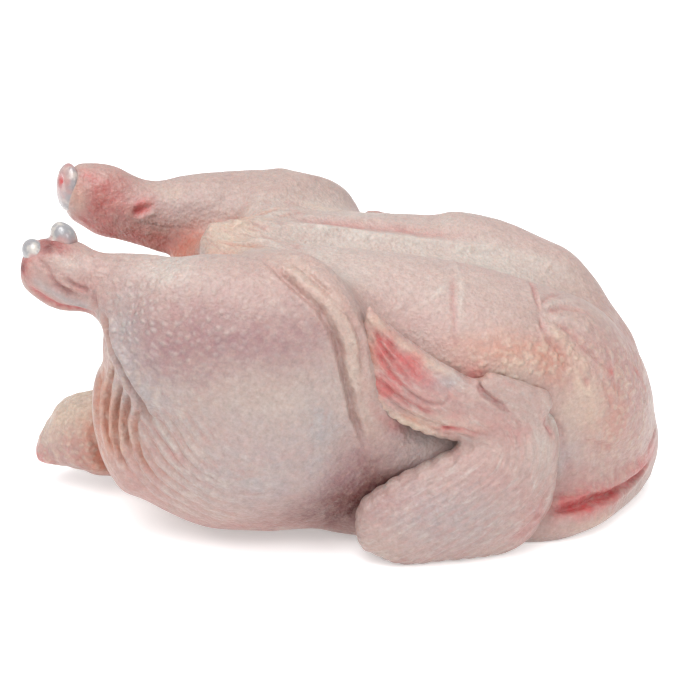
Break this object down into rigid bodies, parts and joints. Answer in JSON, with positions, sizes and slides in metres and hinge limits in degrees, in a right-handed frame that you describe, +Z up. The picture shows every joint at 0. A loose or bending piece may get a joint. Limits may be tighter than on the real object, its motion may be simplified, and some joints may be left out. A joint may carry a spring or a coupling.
{
  "type": "whole raw chicken",
  "caption": "Plucked and drawn raw chicken lying on its back, with free legs ending in bare knuckles and wings folded at its sides.",
  "frame": {"origin": "on the table under the middle of the bird's box", "axes": "+X from the tail to the neck, +Y to the bird's right side, +Z up from the table, with the breast on top"},
  "size_m": [0.2773, 0.1896, 0.1365],
  "materials": {
    "skin": "moist raw skin, softly shining",
    "knuckle": "wet grey-white cartilage"
  },
  "bodies": {
    "root": {"chicken": "skin", "left_knuckle": "knuckle", "right_knuckle": "knuckle"}
  },
  "joints": []
}
